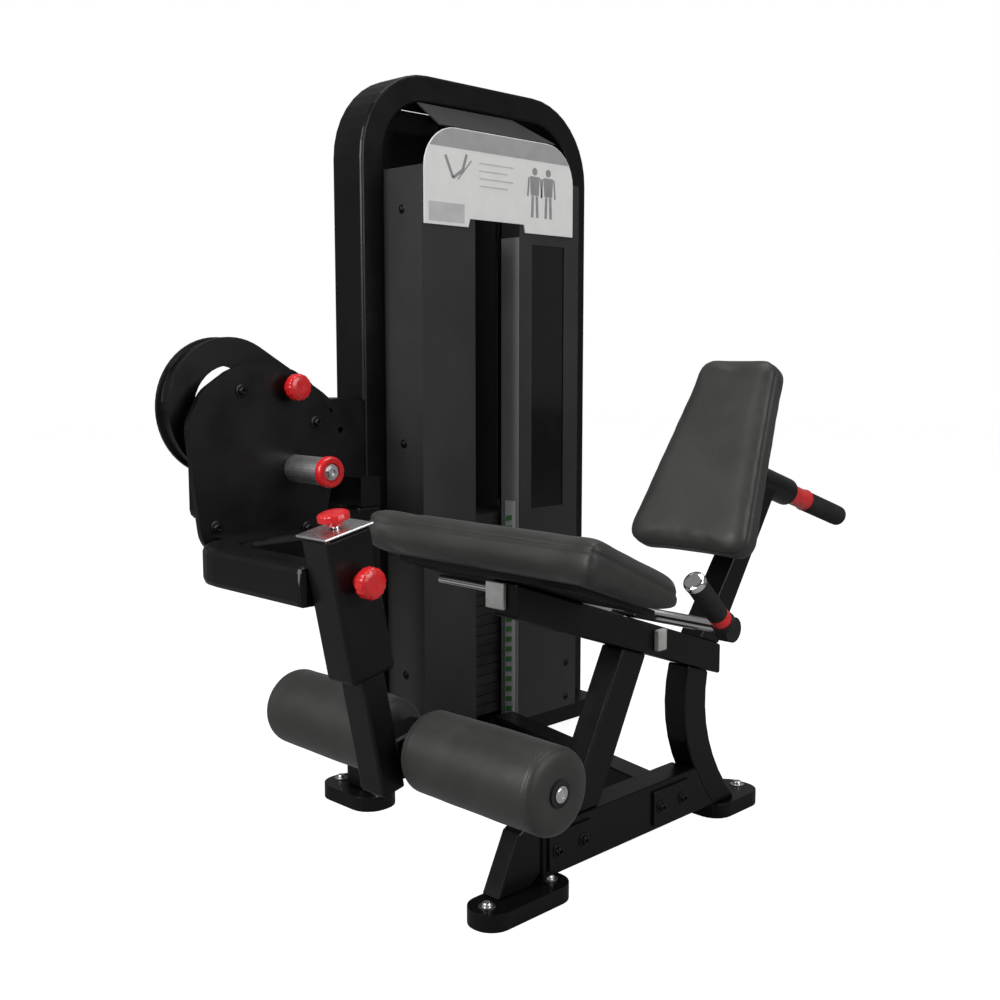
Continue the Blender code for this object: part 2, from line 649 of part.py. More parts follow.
def rear_leg_y(z):
    """The bowed rear leg's centre line: a parabola through its foot, waist and head."""
    through = ((0.235, 0.03), (0.138, 0.19), (0.140, 0.33))
    y = 0.0
    for a in through:
        share = 1.0
        for b in through:
            if b is not a:
                share *= (z - b[1]) / (a[1] - b[1])
        y += a[0] * share
    return y


def rear_leg_edge(offset, low, high, steps=8):
    heights = [low + (high - low) * i / steps for i in range(steps + 1)]
    return [(rear_leg_y(z) + offset, z) for z in heights]


def rear_leg_top(offset):
    """How high the rear leg's edge meets the beam's underside."""
    z = beam_height(0.14, -1)
    for _ in range(8):
        z = beam_height(rear_leg_y(z) + offset, -1) - 2 * GAP
    return z


def build_seat_frame():
    front_foot = rounded([(0.25, -0.47), (0.33, -0.47), (0.33, -0.26), (0.25, -0.26)], 0.038, 6)
    prism("front_foot", front_foot, "Z", (0.0, FOOT), "frame_paint")
    rear_foot = rounded([(0.205, 0.195), (0.305, 0.195), (0.305, 0.355), (0.205, 0.355)], 0.04, 6)
    prism("rear_foot", rear_foot, "Z", (0.0, FOOT), "frame_paint")
    half = 0.036
    rail_rear = rear_leg_edge(-half - 4 * GAP, RAIL_Z[0], RAIL_Z[1], 4)
    rail = [(-0.31, RAIL_Z[0])] + rail_rear + [(-0.31, RAIL_Z[1])]
    prism("seat_rail", rail, "X", RAIL_X, "frame_paint", 0.004)
    short_leg = [(-0.415, FOOT + GAP), (-0.335, FOOT + GAP), (-0.31 - GAP, 0.048), (-0.31 - GAP, 0.125),
                 (-0.335, 0.145), (-0.365, 0.130)]
    prism("short_leg", short_leg, "X", (0.2503, 0.29), "frame_paint", 0.003)
    straight_leg("front_leg", (-0.20, RAIL_Z[1] + GAP), 0.52, 0.072, GAP)
    front_edge = rear_leg_edge(-half, FOOT + GAP, rear_leg_top(-half))
    back_edge = rear_leg_edge(half, FOOT + GAP, rear_leg_top(half))
    prism("rear_leg", back_edge + front_edge[::-1], "X", LEG_X, "frame_paint", 0.004)
    beam = along_beam(BEAM_Y, -1, 0.0) + along_beam(BEAM_Y[::-1], 1, 0.0)
    prism("seat_beam", beam, "X", RAIL_X, "frame_paint", 0.005)
    box("beam_plug", (0.228, 0.270), (BEAM_Y[0] - 0.008, BEAM_Y[0] - GAP), (0.512, 0.556), "grey_plug", 0.0015)
    cross = [(-0.2997, 0.165), (-0.2997, 0.225), (RAIL_X[0] - GAP, 0.115), (RAIL_X[0] - GAP, 0.055)]
    prism("cross_member", cross, "Z", (0.036, 0.096), "frame_paint", 0.004)


def build_seat():
    prism("seat_pad", rounded(SEAT_PROFILE, 0.02, 4), "X", SEAT_X, "upholstery", 0.012)
    ys = (-0.40, -0.205)
    slope = (SEAT_PROFILE[1][1] - SEAT_PROFILE[0][1]) / (SEAT_PROFILE[1][0] - SEAT_PROFILE[0][0])
    under = [(y, SEAT_PROFILE[0][1] + slope * (y - SEAT_PROFILE[0][0]) - GAP) for y in ys[::-1]]
    plate_bottom = [(y, max(beam_height(y, 1) + GAP, z - 0.014)) for y, z in reversed(under)]
    prism("seat_plate", plate_bottom + under, "X", (0.03, 0.445), "frame_paint")


def build_handles():
    ends = (-0.010, 0.490)
    boss = 0.012
    rod("handle_bar", (ends[0] + boss + GAP, HANDLE_Y, HANDLE_Z), (ends[1] - boss - GAP, HANDLE_Y, HANDLE_Z),
        0.0120, "chrome", 16)
    tip = Vector((0.0, -0.165 - HANDLE_Y, 0.563 - HANDLE_Z))
    for name, x in (("grip_far", ends[0]), ("grip_near", ends[1])):
        base = Vector((x, HANDLE_Y, HANDLE_Z))
        profile = [(0, 0.010), (0.016, 0.010), (0.016, 0.021), (0.022, 0.021), (0.024, 0.017),
                   (tip.length - 0.012, 0.017), (tip.length - 0.012, 0.019), (tip.length, 0.017)]
        grip = turned(name, profile, base, tip, "black_rubber", 20)
        join(grip, rod(f"{name}_boss", (x - boss, HANDLE_Y, HANDLE_Z), (x + boss, HANDLE_Y, HANDLE_Z), 0.022,
                       "black_rubber", 20))


def slide_point(distance):
    """A point on the back slide's axis, that far down and back from its reference point."""
    y = SLIDE_POINT[0] + distance * math.cos(SLIDE_TILT)
    z = SLIDE_POINT[1] - distance * math.sin(SLIDE_TILT)
    return Vector((BACK_CENTRE_X, y, z))


def build_backrest():
    post = [(0.141, beam_height(0.141, 1) + GAP), (0.203, beam_height(0.203, 1) + GAP), (0.405, 0.660),
            (0.352, 0.660)]
    back_post = prism("back_post", post, "X", LEG_X, "frame_paint", 0.003)
    sleeve = rod("slide_sleeve", slide_point(-0.045), slide_point(SLEEVE_END), 0.029, "frame_paint", 24)
    join(back_post, sleeve)
    cut(back_post, rod("sleeve_bore", slide_point(-0.10), slide_point(0.12), 0.0185, "frame_paint", 24))
    lower, upper = (Vector((0.0, *point)) for point in BACK_FRONT)
    rise = (upper - lower).normalized()
    into = Vector((0.0, rise.z, -rise.y))
    height = (upper - lower).length
    rings = []
    for depth in (0.0, BACK_THICKNESS):
        ring = []
        outline = [(-BACK_WIDTHS[0] / 2, 0.0), (BACK_WIDTHS[0] / 2, 0.0),
                   (BACK_WIDTHS[1] / 2, height), (-BACK_WIDTHS[1] / 2, height)]
        for across, up in rounded(outline, 0.035, 4):
            point = lower + rise * up + into * depth
            ring.append((BACK_CENTRE_X + across, point.y, point.z))
        rings.append(ring)
    pad = loft("back_pad", rings, "upholstery", 0.012)
    # A plate behind the pad carries the tube that slides in the sleeve.
    rear = lower + into * (BACK_THICKNESS + GAP)
    rings = []
    for depth in (0.0, 0.006):
        corners = rounded([(-0.07, 0.10), (0.07, 0.10), (0.06, 0.30), (-0.06, 0.30)], 0.015, 3)
        points = [(across, rear + rise * up + into * depth) for across, up in corners]
        rings.append([(BACK_CENTRE_X + across, point.y, point.z) for across, point in points])
    carrier = loft("slide_tube", rings, "frame_paint")
    along = slide_point(1.0) - slide_point(0.0)
    meet = (rear + into * 0.003 - slide_point(0.0)).dot(into) / along.dot(into)
    join(carrier, rod("slide_bar", slide_point(meet), slide_point(0.070), 0.0175, "frame_paint", 24))
    hang(joint_axis("back_slide_axis", slide_point(0.0)), pad, carrier)
    start = slide_point(SLEEVE_END + GAP)
    profile = [(0, 0.024), (0.010, 0.024), (0.014, 0.021), (0.070, 0.021), (0.077, 0.0235)]
    collar = turned("slide_collar", profile, start, along, "red_plastic", 24)
    end = (BACK_REACH - SLIDE_POINT[0] - 0.0225 * math.sin(SLIDE_TILT)) / math.cos(SLIDE_TILT)
    grip_start = SLEEVE_END + 0.077 + 2 * GAP
    length = end - grip_start
    grip = turned("slide_grip", [(0, 0.0215), (0.004, 0.0225), (length - 0.004, 0.0225), (length, 0.0185)],
                  slide_point(grip_start), along, "black_rubber", 24)
    hang(joint_axis("back_release_axis", start), collar, grip)


def main():
    clear_scene()
    build_tower_frame()
    build_shrouds()
    build_placard_and_cap()
    build_stack()
    build_pivot()
    build_cam()
    build_lever()
    build_seat_frame()
    build_seat()
    build_handles()
    build_backrest()


main()
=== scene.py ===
"""The looks of the leg extension machine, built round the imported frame. Metres, +Z up, the user faces -Y."""

import json
import math

import bmesh
import bpy
from mathutils import Matrix, Vector, noise


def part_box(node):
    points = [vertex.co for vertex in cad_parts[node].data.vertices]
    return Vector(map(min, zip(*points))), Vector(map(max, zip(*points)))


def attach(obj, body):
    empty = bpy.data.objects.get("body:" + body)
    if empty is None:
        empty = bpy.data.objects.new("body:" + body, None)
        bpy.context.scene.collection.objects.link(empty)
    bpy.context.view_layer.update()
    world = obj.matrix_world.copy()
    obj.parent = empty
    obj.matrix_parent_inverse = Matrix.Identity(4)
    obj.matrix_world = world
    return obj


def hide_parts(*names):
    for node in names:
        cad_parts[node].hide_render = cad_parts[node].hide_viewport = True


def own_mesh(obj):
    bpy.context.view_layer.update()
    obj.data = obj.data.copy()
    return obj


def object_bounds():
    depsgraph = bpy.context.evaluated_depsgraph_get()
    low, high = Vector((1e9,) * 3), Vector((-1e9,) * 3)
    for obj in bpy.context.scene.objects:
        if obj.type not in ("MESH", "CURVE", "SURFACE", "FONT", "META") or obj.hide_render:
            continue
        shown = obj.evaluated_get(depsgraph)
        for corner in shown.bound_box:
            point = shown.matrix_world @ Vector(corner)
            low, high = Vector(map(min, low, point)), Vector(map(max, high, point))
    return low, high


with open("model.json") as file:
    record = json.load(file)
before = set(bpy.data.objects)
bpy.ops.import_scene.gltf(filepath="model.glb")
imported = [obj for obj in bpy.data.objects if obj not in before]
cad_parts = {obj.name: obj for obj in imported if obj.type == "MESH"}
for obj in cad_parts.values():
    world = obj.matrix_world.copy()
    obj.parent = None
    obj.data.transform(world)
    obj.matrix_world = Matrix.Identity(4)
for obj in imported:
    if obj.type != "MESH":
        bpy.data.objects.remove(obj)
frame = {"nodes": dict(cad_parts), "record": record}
CAD_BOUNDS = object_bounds()
NODES = frame["nodes"]

BOLT = 0.0075  # a bolt head's radius
POST_TILT = math.radians(11.7)
SLIDE_TILT = math.radians(18)
GRIP_BASE = (-0.062, 0.465)  # where a hand grip meets its bar, in y and z
GRIP_AXIS = (0, -0.103, 0.098)
PAD_CAP = 0.006  # the most that a pad's skin may move as it is blown out
PAD_VOXEL = 0.006
SEAM_DEPTH, SEAM_WIDTH = 0.0022, 0.0032
CLOTH_STEPS = 20
PRINT = 0.0004  # how far a printed mark stands proud


# ---- materials


class Look:
    """A Principled material whose colour, roughness and bump come from noise in the object's own space."""

    def __init__(self, name, metallic=0.0, coat=0.0, specular=0.5):
        self.material = bpy.data.materials.new(name)
        self.material.use_nodes = True
        self.tree = self.material.node_tree
        self.shader = self.tree.nodes["Principled BSDF"]
        self.shader.inputs["Metallic"].default_value = metallic
        self.shader.inputs["Coat Weight"].default_value = coat
        self.shader.inputs["Specular IOR Level"].default_value = specular
        self.coords = self.tree.nodes.new("ShaderNodeTexCoord").outputs["Object"]
        self.normal = None

    def node(self, kind, **values):
        made = self.tree.nodes.new(kind)
        for key, value in values.items():
            made.inputs[key.replace("_", " ")].default_value = value
        return made

    def stretched(self, scale):
        mapping = self.node("ShaderNodeMapping", Scale=scale)
        self.tree.links.new(self.coords, mapping.inputs["Vector"])
        return mapping.outputs["Vector"]

    def noise(self, scale, detail=3.0, vector=None):
        made = self.node("ShaderNodeTexNoise", Scale=scale, Detail=detail)
        self.tree.links.new(vector or self.coords, made.inputs["Vector"])
        return made.outputs["Fac"]

    def cells(self, scale):
        made = self.node("ShaderNodeTexVoronoi", Scale=scale)
        self.tree.links.new(self.coords, made.inputs["Vector"])
        return made.outputs["Distance"]

    def colour(self, source, dark, light, low=0.35, high=0.65):
        ramp = self.node("ShaderNodeValToRGB")
        ramp.color_ramp.elements[0].position = low
        ramp.color_ramp.elements[1].position = high
        ramp.color_ramp.elements[0].color = (*dark, 1.0)
        ramp.color_ramp.elements[1].color = (*light, 1.0)
        self.tree.links.new(source, ramp.inputs["Fac"])
        self.tree.links.new(ramp.outputs["Color"], self.shader.inputs["Base Color"])
        return self

    def rough(self, source, smooth, coarse):
        spread = self.node("ShaderNodeMapRange", From_Min=0.3, From_Max=0.7, To_Min=smooth, To_Max=coarse)
        self.tree.links.new(source, spread.inputs["Value"])
        self.tree.links.new(spread.outputs["Result"], self.shader.inputs["Roughness"])
        return self

    def bump(self, source, strength, distance=0.0005):
        made = self.node("ShaderNodeBump", Strength=strength, Distance=distance)
        self.tree.links.new(source, made.inputs["Height"])
        if self.normal:
            self.tree.links.new(self.normal, made.inputs["Normal"])
        self.normal = made.outputs["Normal"]
        self.tree.links.new(self.normal, self.shader.inputs["Normal"])
        return self


def powder_coat(name, dark, light, smooth, coarse):
    look = Look(name, specular=0.28)
    look.colour(look.noise(5), dark, light).rough(look.noise(14), smooth, coarse)
    look.bump(look.noise(900, 2), 0.10, 0.0003)
    return look.material


def vinyl():
    look = Look("vinyl", specular=0.45)
    look.colour(look.noise(9, 4), (0.020, 0.020, 0.0185), (0.031, 0.031, 0.029))
    look.rough(look.noise(40), 0.44, 0.56)
    look.bump(look.cells(520), 0.32, 0.0005).bump(look.noise(90, 4), 0.14, 0.0012)
    look.shader.inputs["Sheen Weight"].default_value = 0.08
    look.shader.inputs["Sheen Roughness"].default_value = 0.5
    return look.material


def plastic(name, dark, light, smooth, coarse, coat=0.0):
    look = Look(name, coat=coat)
    look.colour(look.noise(30), dark, light).rough(look.noise(60), smooth, coarse)
    look.bump(look.noise(1200, 2), 0.05, 0.0002)
    return look.material


def metal(name, dark, light, smooth, coarse, brushed=None):
    look = Look(name, metallic=1.0)
    grain = look.noise(60, 5, look.stretched(brushed)) if brushed else look.noise(25)
    look.colour(look.noise(12), dark, light).rough(grain, smooth, coarse)
    look.bump(grain if brushed else look.noise(300), 0.05, 0.0002)
    return look.material


def cast_iron():
    look = Look("weight_plate_coat", specular=0.4)
    look.colour(look.noise(18, 4), (0.008, 0.008, 0.008), (0.020, 0.020, 0.019))
    look.rough(look.noise(45), 0.40, 0.62).bump(look.noise(420, 3), 0.25, 0.0005)
    return look.material


def rubber():
    look = Look("rubber", specular=0.3)
    look.colour(look.noise(25), (0.009, 0.009, 0.009), (0.018, 0.018, 0.018))
    look.rough(look.noise(70), 0.6, 0.8).bump(look.cells(700), 0.25, 0.0004)
    return look.material


LOOKS = {
    "frame_paint": powder_coat("frame_coat", (0.0022, 0.0022, 0.0024), (0.0042, 0.0042, 0.0044), 0.26, 0.38),
    "shroud_paint": powder_coat("shroud_coat", (0.028, 0.028, 0.029), (0.035, 0.035, 0.0365), 0.42, 0.54),
    "upholstery": vinyl(),
    "red_plastic": plastic("knob_red", (0.60, 0.010, 0.014), (0.74, 0.018, 0.022), 0.22, 0.34, 0.3),
    "chrome": metal("chrome_plate", (0.80, 0.80, 0.81), (0.90, 0.90, 0.91), 0.05, 0.13),
    "bright_steel": metal("brushed_steel", (0.66, 0.66, 0.67), (0.82, 0.82, 0.83), 0.22, 0.38, (1, 14, 1)),
    "plate_paint": cast_iron(),
    "tinted_window": plastic("tinted_acrylic", (0.0035, 0.0027, 0.0027), (0.005, 0.004, 0.004), 0.08, 0.14, 0.2),
    "placard": plastic("placard_sheet", (0.80, 0.80, 0.79), (0.83, 0.83, 0.82), 0.38, 0.5),
    "grey_plug": plastic("grey_moulding", (0.36, 0.37, 0.35), (0.46, 0.47, 0.45), 0.45, 0.6),
    "black_rubber": rubber(),
}
PRINT_GREY = plastic("print_grey", (0.27, 0.27, 0.27), (0.32, 0.32, 0.32), 0.4, 0.5)
PRINT_BAND = plastic("print_band", (0.36, 0.36, 0.36), (0.40, 0.40, 0.40), 0.4, 0.5)
PRINT_PALE = plastic("print_pale", (0.52, 0.52, 0.52), (0.58, 0.58, 0.58), 0.4, 0.5)
PRINT_GREEN = plastic("print_green", (0.10, 0.36, 0.10), (0.16, 0.46, 0.15), 0.4, 0.5)
TURNED_STEEL = metal("turned_steel", (0.90, 0.90, 0.91), (0.97, 0.97, 0.98), 0.30, 0.44, (14, 1, 1))
# A much lighter copy of the shroud paint for the strip inside the stack slot: painted light on the slot's edge.
SLOT_EDGE_PAINTED_LIGHT = powder_coat("slot_edge_painted_light", (0.26, 0.27, 0.27), (0.31, 0.32, 0.32), 0.35, 0.5)


# ---- mesh helpers


def piece(name, mesh_data, slot, body, replaces=(), look=None, sharp=35):
    """Makes a closed piece that rides on a body."""
    bmesh.ops.recalc_face_normals(mesh_data, faces=mesh_data.faces)
    mesh = bpy.data.meshes.new(name)
    mesh_data.to_mesh(mesh)
    mesh_data.free()
    mesh.shade_smooth()
    mesh.set_sharp_from_angle(angle=math.radians(sharp))
    mesh.materials.append(look or LOOKS[slot])
    made = bpy.data.objects.new(name, mesh)
    bpy.context.scene.collection.objects.link(made)
    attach(made, body)
    if replaces:
        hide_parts(*replaces)
    return made


def add_loft(mesh_data, rings, bored=False):
    loops = [[mesh_data.verts.new(point) for point in ring] for ring in rings]
    pairs = list(zip(loops, loops[1:]))
    if bored:
        pairs.append((loops[-1], loops[0]))
    else:
        mesh_data.faces.new(loops[0][::-1])
        mesh_data.faces.new(loops[-1])
    for lower, upper in pairs:
        for i in range(len(lower)):
            j = (i + 1) % len(lower)
            mesh_data.faces.new((lower[i], lower[j], upper[j], upper[i]))


def axes_of(direction):
    along = Vector(direction).normalized()
    side = along.orthogonal().normalized()
    return along, side, along.cross(side)


def add_turned(mesh_data, profile, start, direction, sides=32, bored=False, shape=None):
    """Turns (distance, radius) pairs about a line. shape(index, angle) scales the radius of a ring."""
    along, side, other = axes_of(direction)
    rings = []
    for index, (distance, radius) in enumerate(profile):
        centre = Vector(start) + along * distance
        ring = []
        for step in range(sides):
            angle = 2 * math.pi * step / sides
            size = radius * (shape(index, angle) if shape else 1.0)
            ring.append(centre + (side * math.cos(angle) + other * math.sin(angle)) * size)
        rings.append(ring)
    add_loft(mesh_data, rings, bored)


def add_box(mesh_data, low, high):
    bottom = [(low[0], low[1]), (high[0], low[1]), (high[0], high[1]), (low[0], high[1])]
    add_loft(mesh_data, [[(x, y, z) for x, y in bottom] for z in (low[2], high[2])])


def arc(centre, radius, start, end, steps):
    angles = [math.radians(start + (end - start) * i / steps) for i in range(steps + 1)]
    return [(centre[0] + radius * math.cos(a), centre[1] + radius * math.sin(a)) for a in angles]


def hexagon(angle):
    """The radius of a hexagon of unit inner radius, at that angle."""
    return 1 / math.cos((angle % (math.pi / 3)) - math.pi / 6)


def add_bolt(mesh_data, at, direction, radius=BOLT):
    """A button-head bolt with a hexagon socket, on a washer."""
    profile = [(0, 1.55), (0.16, 1.6), (0.22, 1.5), (0.22, 1.0), (0.55, 0.98), (0.85, 0.80), (0.95, 0.55),
               (0.93, 0.46), (0.45, 0.44)]

    def socket(index, angle):
        return hexagon(angle) if index >= 7 else 1.0

    scaled = [(distance * radius, size * radius) for distance, size in profile]
    add_turned(mesh_data, scaled, at, direction, 24, shape=socket)


def bolts(name, body, places, radius=BOLT, slot="frame_paint"):
    mesh_data = bmesh.new()
    for at, direction in places:
        add_bolt(mesh_data, at, direction, radius)
    return piece(name, mesh_data, slot, body)


# ---- the frame's own nodes


def dress_nodes():
    """Gives every CAD node its procedural material, and softens the edges of the metal ones."""
    slots = {row["node"]: row["material_slot"] for row in frame["record"]["subparts"]}
    soft_edges = {"frame_paint": 0.0016, "shroud_paint": 0.0006, "plate_paint": 0.0012, "bright_steel": 0.0005,
                  "grey_plug": 0.0008, "placard": 0.0003}
    for name, node in NODES.items():
        slot = slots[name]
        node.data.materials.clear()
        node.data.materials.append(TURNED_STEEL if name == "pivot_axle" else LOOKS[slot])
        width = soft_edges.get(slot)
        if width:
            weld = node.modifiers.new("weld", "WELD")
            weld.merge_threshold = 0.00001
            edge = node.modifiers.new("edge", "BEVEL")
            edge.width = width
            edge.segments = 2
            edge.limit_method = "ANGLE"
            edge.angle_limit = math.radians(40)
            edge.harden_normals = True


# ---- soft pieces


def inflated(name, node):
    """A pad's skin: the CAD solid remeshed, drawn in a little, blown out as cloth and smoothed."""
    mesh = NODES[node].data.copy()
    made = bpy.data.objects.new(name, mesh)
    bpy.context.scene.collection.objects.link(made)
    weld = made.modifiers.new("weld", "WELD")
    weld.merge_threshold = 0.00001
    remesh = made.modifiers.new("remesh", "REMESH")
    remesh.mode = "VOXEL"
    remesh.voxel_size = PAD_VOXEL
    shrink = made.modifiers.new("shrink", "DISPLACE")
    shrink.strength = -0.003
    shrink.mid_level = 0.0
    apply_modifiers(made)
    relax(made, 6)
    blow(made)
    relax(made, 7)
    level = made.modifiers.new("level", "SUBSURF")
    level.levels = level.render_levels = 1
    apply_modifiers(made)
    return made


def apply_modifiers(obj):
    graph = bpy.context.evaluated_depsgraph_get()
    mesh = bpy.data.meshes.new_from_object(obj.evaluated_get(graph))
    obj.modifiers.clear()
    obj.data = mesh


def relax(obj, rounds):
    """Smooths the mesh, which rounds its corners."""
    mesh_data = bmesh.new()
    mesh_data.from_mesh(obj.data)
    for _ in range(rounds):
        bmesh.ops.smooth_vert(mesh_data, verts=mesh_data.verts, factor=0.5, use_axis_x=True, use_axis_y=True,
                              use_axis_z=True)
    mesh_data.to_mesh(obj.data)
    mesh_data.free()


def blow(obj):
    """Runs the cloth under pressure, and caps how far each point moves."""
    rest = [vertex.co.copy() for vertex in obj.data.vertices]
    cloth = obj.modifiers.new("cloth", "CLOTH")
    cloth.settings.use_pressure = True
    cloth.settings.uniform_pressure_force = 4.0
    cloth.settings.effector_weights.gravity = 0.0
    cloth.settings.quality = 5
    scene = bpy.context.scene
    cloth.point_cache.frame_start = 1
    cloth.point_cache.frame_end = CLOTH_STEPS
    for step in range(1, CLOTH_STEPS + 1):
        scene.frame_set(step)
    graph = bpy.context.evaluated_depsgraph_get()
    blown = bpy.data.meshes.new_from_object(obj.evaluated_get(graph))
    obj.modifiers.clear()
    for vertex, start in zip(blown.vertices, rest):
        move = vertex.co - start
        if move.length > PAD_CAP:
            vertex.co = start + move.normalized() * PAD_CAP
    obj.data = blown
    scene.frame_set(1)


def finish_pad(made, node, body):
    made.data.shade_smooth()
    made.data.materials.clear()
    made.data.materials.append(LOOKS["upholstery"])
    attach(made, body)
    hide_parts(node)


def crease(made, origin, normal):
    """Draws the skin in along the seam where a pad's face panel meets its side band.

    The normals are read before any point moves, because Blender works them all out again after each move.
    """
    normal = Vector(normal).normalized()
    facings = [vertex.normal.copy() for vertex in made.data.vertices]
    for vertex, facing in zip(made.data.vertices, facings):
        along = (vertex.co - Vector(origin)).dot(normal)
        share = math.exp(-(along / SEAM_WIDTH) ** 2)
        outward = facing - normal * facing.dot(normal)
        vertex.co -= outward * SEAM_DEPTH * share


def make_pads():
    seat = inflated("seat_cushion", "seat_pad")
    low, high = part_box("seat_pad")
    front_top = Vector((0, low.y + 0.022, high.z))
    slope = Vector((0, 0.210, -0.095)).normalized()
    up = Vector((0, -slope.z, slope.y))
    crease(seat, front_top - up * 0.020, up)
    finish_pad(seat, "seat_pad", "frame")
    back = inflated("back_cushion", "back_pad")
    low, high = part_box("back_pad")
    rise = Vector((0, 0.190, 0.369)).normalized()
    facing = Vector((0, -rise.z, rise.y))
    front = Vector((0, low.y, low.z + 0.030))
    crease(back, front - facing * 0.018, facing)
    finish_pad(back, "back_pad", "backrest")
    for node, body in (("roller_far", "far_roller"), ("roller_near", "near_roller")):
        make_roller(node, body)


def make_roller(node, body):
    """A foam roller in sewn vinyl: a slightly barrelled sleeve, a seam near each end and soft end panels."""
    low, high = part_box(node)
    length = high.x - low.x
    radius = (high.z - low.z) / 2
    middle = Vector((low.x, (low.y + high.y) / 2, (low.z + high.z) / 2))
    bore = 0.0128
    half = [(0.0015, bore), (0.0015, 0.022), (0.0, 0.030), (0.0, 0.040), (0.0012, 0.052), (0.0035, 0.060),
            (0.0070, 0.0645), (0.0105, 0.0662), (0.0125, 0.0668), (0.0142, 0.0660), (0.0160, 0.0671)]
    steps = 22
    body_run = []
    start = half[-1][0] + 0.004
    for i in range(steps + 1):
        share = i / steps
        bulge = 0.0008 * math.sin(math.pi * share)
        body_run.append((start + (length - 2 * start) * share, radius - 0.0010 + bulge))
    profile = half + body_run + [(length - d, r) for d, r in reversed(half)]
    mesh_data = bmesh.new()
    add_turned(mesh_data, profile, middle, (1, 0, 0), 72, bored=True)
    for vertex in mesh_data.verts:
        out = Vector((0, vertex.co.y - middle.y, vertex.co.z - middle.z))
        if out.length > 0.05:
            lump = noise.noise(vertex.co * 22) * 0.0007
            vertex.co += out.normalized() * min(lump, 0.0003)
    made = piece(f"{node}_cover", mesh_data, "upholstery", body, (node,), sharp=60)


# ---- knobs, pins and grips


def fluted(first, last, count=14, depth=0.035):
    def shape(index, angle):
        if first <= index <= last:
            return 1.0 - depth * (0.5 + 0.5 * math.cos(count * angle)) ** 2
        return 1.0

    return shape


def make_pull_knobs():
    """The two pull pins on the lever: each a red fluted knob, a collar and a steel stem."""
    for node, body in (("start_pin", "start_knob"), ("height_pin", "height_knob")):
        low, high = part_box(node)
        centre = (low + high) / 2
        width = (high.y - low.y) / 2
        tip = Vector((low.x, centre.y, centre.z))
        length = high.x - low.x
        base = length - 0.038
        profile = [(base + 0.0005, 0.013), (base + 0.010, 0.0135), (base + 0.014, 0.0150), (base + 0.017, 0.0205),
                   (base + 0.020, width), (base + 0.031, width), (base + 0.0345, width * 0.95),
                   (base + 0.0370, width * 0.80), (base + 0.0380, width * 0.45), (base + 0.0376, width * 0.2)]
        mesh_data = bmesh.new()
        add_turned(mesh_data, profile, tip, (1, 0, 0), 84, shape=fluted(3, 6))
        piece(f"{node}_knob", mesh_data, "red_plastic", body, (node,))
        mesh_data = bmesh.new()
        add_turned(mesh_data, [(0, 0.0045), (0.001, 0.0055), (base, 0.0055)], tip, (1, 0, 0), 20)
        piece(f"{node}_stem", mesh_data, "bright_steel", body)


def make_top_knob():
    """The red knob over the post's cap, on the rod that lifts the carriage."""
    low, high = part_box("top_knob")
    up = Vector((0, -math.sin(POST_TILT), math.cos(POST_TILT)))
    x = (low.x + high.x) / 2
    width = (high.x - low.x) / 2
    crown_y = low.y + width * up.z
    crown = Vector((x, crown_y, high.z - 0.25 * width * abs(up.y)))
    reach = 0.1555
    foot = crown - up * reach
    mesh_data = bmesh.new()
    profile = [(reach - 0.0205, 0.0120), (reach - 0.017, 0.0125), (reach - 0.0140, 0.0190), (reach - 0.0115, width),
               (reach - 0.004, width), (reach - 0.0015, width * 0.94), (reach - 0.0002, width * 0.80),
               (reach, width * 0.4)]
    add_turned(mesh_data, profile, foot, up, 84, shape=fluted(3, 5))
    piece("top_knob_cap", mesh_data, "red_plastic", "carriage", ("top_knob",))
    mesh_data = bmesh.new()
    add_turned(mesh_data, [(0, 0.006), (reach - 0.0205, 0.006)], foot, up, 20)
    piece("top_knob_rod", mesh_data, "chrome", "carriage")


def make_axle_end():
    """A silver hexagon bolt in the red end cap of the pivot."""
    low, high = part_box("axle_cap")
    centre = (low + high) / 2
    radius = (high.y - low.y) / 2
    base = Vector((low.x, centre.y, centre.z))
    reach = high.x - low.x
    profile = [(0, radius * 0.97), (0.001, radius), (0.010, radius), (0.0135, radius * 0.95), (0.0150, radius * 0.88),
               (0.0150, radius * 0.60), (0.0105, radius * 0.56)]
    mesh_data = bmesh.new()
    add_turned(mesh_data, profile, base, (1, 0, 0), 64)
    piece("axle_cap_shell", mesh_data, "red_plastic", "frame", ("axle_cap",))
    mesh_data = bmesh.new()
    head = [(0.0107, 0.50), (0.012, 0.53), (0.0128, 0.50), (0.0128, 0.36), (reach - 0.001, 0.36), (reach, 0.33),
            (reach, 0.18), (reach - 0.004, 0.17)]

    def shape(index, angle):
        return hexagon(angle) if 3 <= index <= 5 else 1.0

    add_turned(mesh_data, [(d, r * radius) for d, r in head], base, (1, 0, 0), 48, shape=shape)
    piece("axle_bolt", mesh_data, "bright_steel", "frame")


